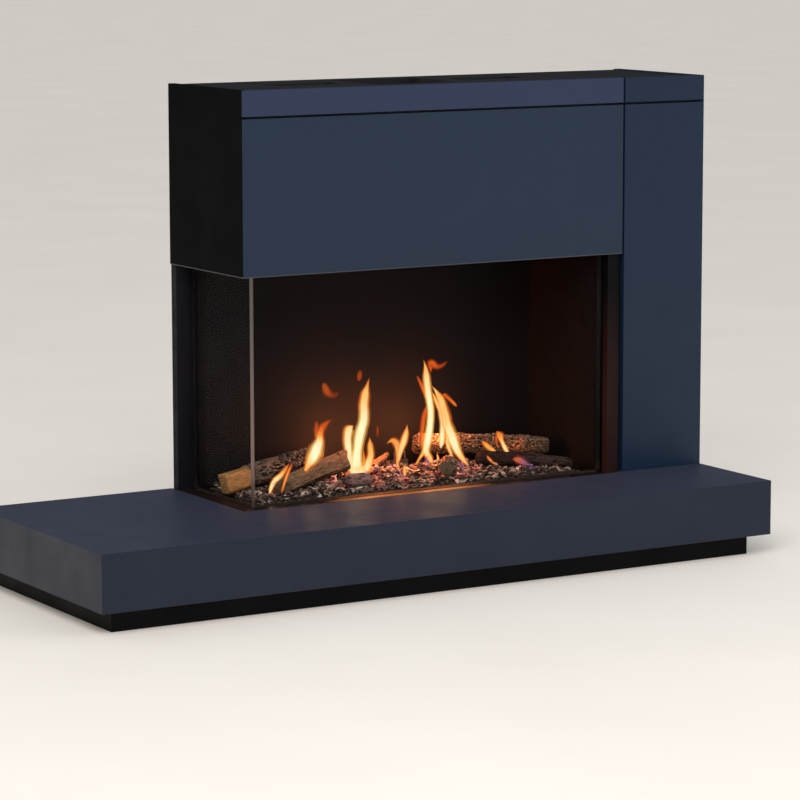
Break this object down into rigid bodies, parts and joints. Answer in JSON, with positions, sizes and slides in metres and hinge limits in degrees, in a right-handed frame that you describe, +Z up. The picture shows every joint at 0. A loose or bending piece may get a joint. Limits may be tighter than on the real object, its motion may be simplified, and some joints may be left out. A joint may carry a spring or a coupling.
{
  "type": "corner gas fireplace",
  "caption": "Built-in gas fireplace with glass on the front and left, a slate grey hood and column, a log fire and a raised hearth bench that runs on past its open corner.",
  "frame": {"origin": "middle of the footprint, on the floor", "axes": "+X to the right along the front, +Y back to the wall, +Z up"},
  "size_m": [1.765, 0.65, 1.13],
  "materials": {
    "hearth_board": "slate grey satin lacquer",
    "hood_board": "blue-grey satin lacquer",
    "cheek_board": "black satin lacquer",
    "plinth_board": "black matt lacquer",
    "inner_board": "raw fibreboard",
    "top_board_black": "black matt lacquer",
    "edge_metal": "brushed",
    "frame_steel": "black primer",
    "dark_sheet": "black gloss enamel",
    "tray_sheet": "dark grey powder coat",
    "chamber_sheet": "heat-proof matt black",
    "casing_sheet": "galvanised",
    "zinc_steel": "zinc plated",
    "pane_glass": "clear ceramic glass",
    "rail_steel": "dark grey",
    "corner_steel": "fine brushed",
    "gasket_cord": "woven glass fibre",
    "ember_chip": "rough ceramic chips",
    "log_dark": "bark-textured ceramic",
    "log_pale": "bark-textured ceramic",
    "burner_steel": "heat-stained",
    "valve_metal": "cast",
    "knob_plastic": "matt",
    "button_plastic": "gloss",
    "cock_brass": "machined",
    "lever_paint": "yellow enamel",
    "pipe_copper": "drawn copper"
  },
  "bodies": {
    "fireplace": {"bench_top": "hearth_board", "bench_front": "hearth_board", "bench_ends": "hearth_board", "hood_front_panel": "hood_board", "band_front_panel": "hood_board", "band_right_panel": "hood_board", "column_front_panel": "hood_board", "column_side_panel": "hood_board", "hood_cheek_panel": "cheek_board", "plinth": "plinth_board", "bench_bottom": "inner_board", "bench_ribs": "inner_board", "top_board": "top_board_black", "hood_edge_trim": "edge_metal", "hood_frame": "frame_steel", "column_frame": "frame_steel", "floor_plate": "dark_sheet", "base_tray": "tray_sheet", "burner_pan": "tray_sheet", "chamber_liner": "chamber_sheet", "chamber_ceiling": "chamber_sheet", "rear_jamb": "chamber_sheet", "right_jamb": "chamber_sheet", "lintel_frame": "chamber_sheet", "baffle_plate": "chamber_sheet", "casing_shell": "casing_sheet", "casing_top": "casing_sheet", "flue_air_pipe": "casing_sheet", "flue_gas_pipe": "casing_sheet", "control_box": "casing_sheet", "door_pivots": "zinc_steel", "glass_gasket": "gasket_cord", "ember_bed": "ember_chip", "log_back_left": "log_dark", "log_back_right": "log_dark", "small_logs": "log_dark", "log_front_left": "log_pale", "log_front_right": "log_pale", "burner_tube": "burner_steel", "pilot_assembly": "burner_steel", "gas_valve": "valve_metal", "shutoff_cock": "cock_brass", "gas_pipes": "pipe_copper"},
    "front_pane": {"front_glass": "pane_glass", "front_glass_rail": "rail_steel"},
    "side_pane": {"side_glass": "pane_glass", "side_glass_rail": "rail_steel", "corner_profile": "corner_steel"},
    "front_ledge": {"front_ledge_strip": "dark_sheet"},
    "side_ledge": {"side_ledge_strip": "dark_sheet"},
    "flap_left": {"relief_flap_left": "casing_sheet"},
    "flap_right": {"relief_flap_right": "casing_sheet"},
    "door": {"service_door": "hood_board"},
    "knob": {"control_knob": "knob_plastic"},
    "button": {"piezo_button": "button_plastic"},
    "lever": {"cock_lever": "lever_paint"},
    "foot_1": {"levelling_foot_1": "zinc_steel"},
    "foot_2": {"levelling_foot_2": "zinc_steel"},
    "foot_3": {"levelling_foot_3": "zinc_steel"},
    "foot_4": {"levelling_foot_4": "zinc_steel"}
  },
  "joints": [
    {"name": "front_pane_tilt", "type": "hinge", "parent": "fireplace", "child": "front_pane", "pos_m": [0.134, -0.003, 0.735], "axis": [-1, 0, 0], "range_deg": [0, 15]},
    {"name": "side_pane_tilt", "type": "hinge", "parent": "fireplace", "child": "side_pane", "pos_m": [-0.3445, 0.1325, 0.735], "axis": [0, 1, 0], "range_deg": [0, 15]},
    {"name": "front_ledge_lift", "type": "slide", "parent": "fireplace", "child": "front_ledge", "axis": [0, 0, 1], "range_m": [0, 0.03]},
    {"name": "side_ledge_lift", "type": "slide", "parent": "fireplace", "child": "side_ledge", "axis": [0, 0, 1], "range_m": [0, 0.03]},
    {"name": "left_flap_lift", "type": "hinge", "parent": "fireplace", "child": "flap_left", "pos_m": [-0.1125, 0.221, 0.838], "axis": [-1, 0, 0], "range_deg": [0, 70]},
    {"name": "right_flap_lift", "type": "hinge", "parent": "fireplace", "child": "flap_right", "pos_m": [0.3775, 0.221, 0.838], "axis": [-1, 0, 0], "range_deg": [0, 70]},
    {"name": "door_swing", "type": "hinge", "parent": "fireplace", "child": "door", "pos_m": [0.8765, 0.267, 0.4035], "axis": [0, 0, 1], "range_deg": [0, 90]},
    {"name": "knob_turn", "type": "hinge", "parent": "fireplace", "child": "knob", "pos_m": [0.7775, 0.125, 0.4], "axis": [1, 0, 0], "range_deg": [0, 210]},
    {"name": "button_press", "type": "slide", "parent": "fireplace", "child": "button", "axis": [-1, 0, 0], "range_m": [0, 0.006], "stiffness_N_per_m": 800},
    {"name": "lever_turn", "type": "hinge", "parent": "fireplace", "child": "lever", "pos_m": [0.779, 0.185, 0.29], "axis": [-1, 0, 0], "range_deg": [0, 90]},
    {"name": "foot_1_screw", "type": "slide", "parent": "fireplace", "child": "foot_1", "axis": [0, 0, -1], "range_m": [0, 0.02]},
    {"name": "foot_2_screw", "type": "slide", "parent": "fireplace", "child": "foot_2", "axis": [0, 0, -1], "range_m": [0, 0.02]},
    {"name": "foot_3_screw", "type": "slide", "parent": "fireplace", "child": "foot_3", "axis": [0, 0, -1], "range_m": [0, 0.02]},
    {"name": "foot_4_screw", "type": "slide", "parent": "fireplace", "child": "foot_4", "axis": [0, 0, -1], "range_m": [0, 0.02]}
  ]
}
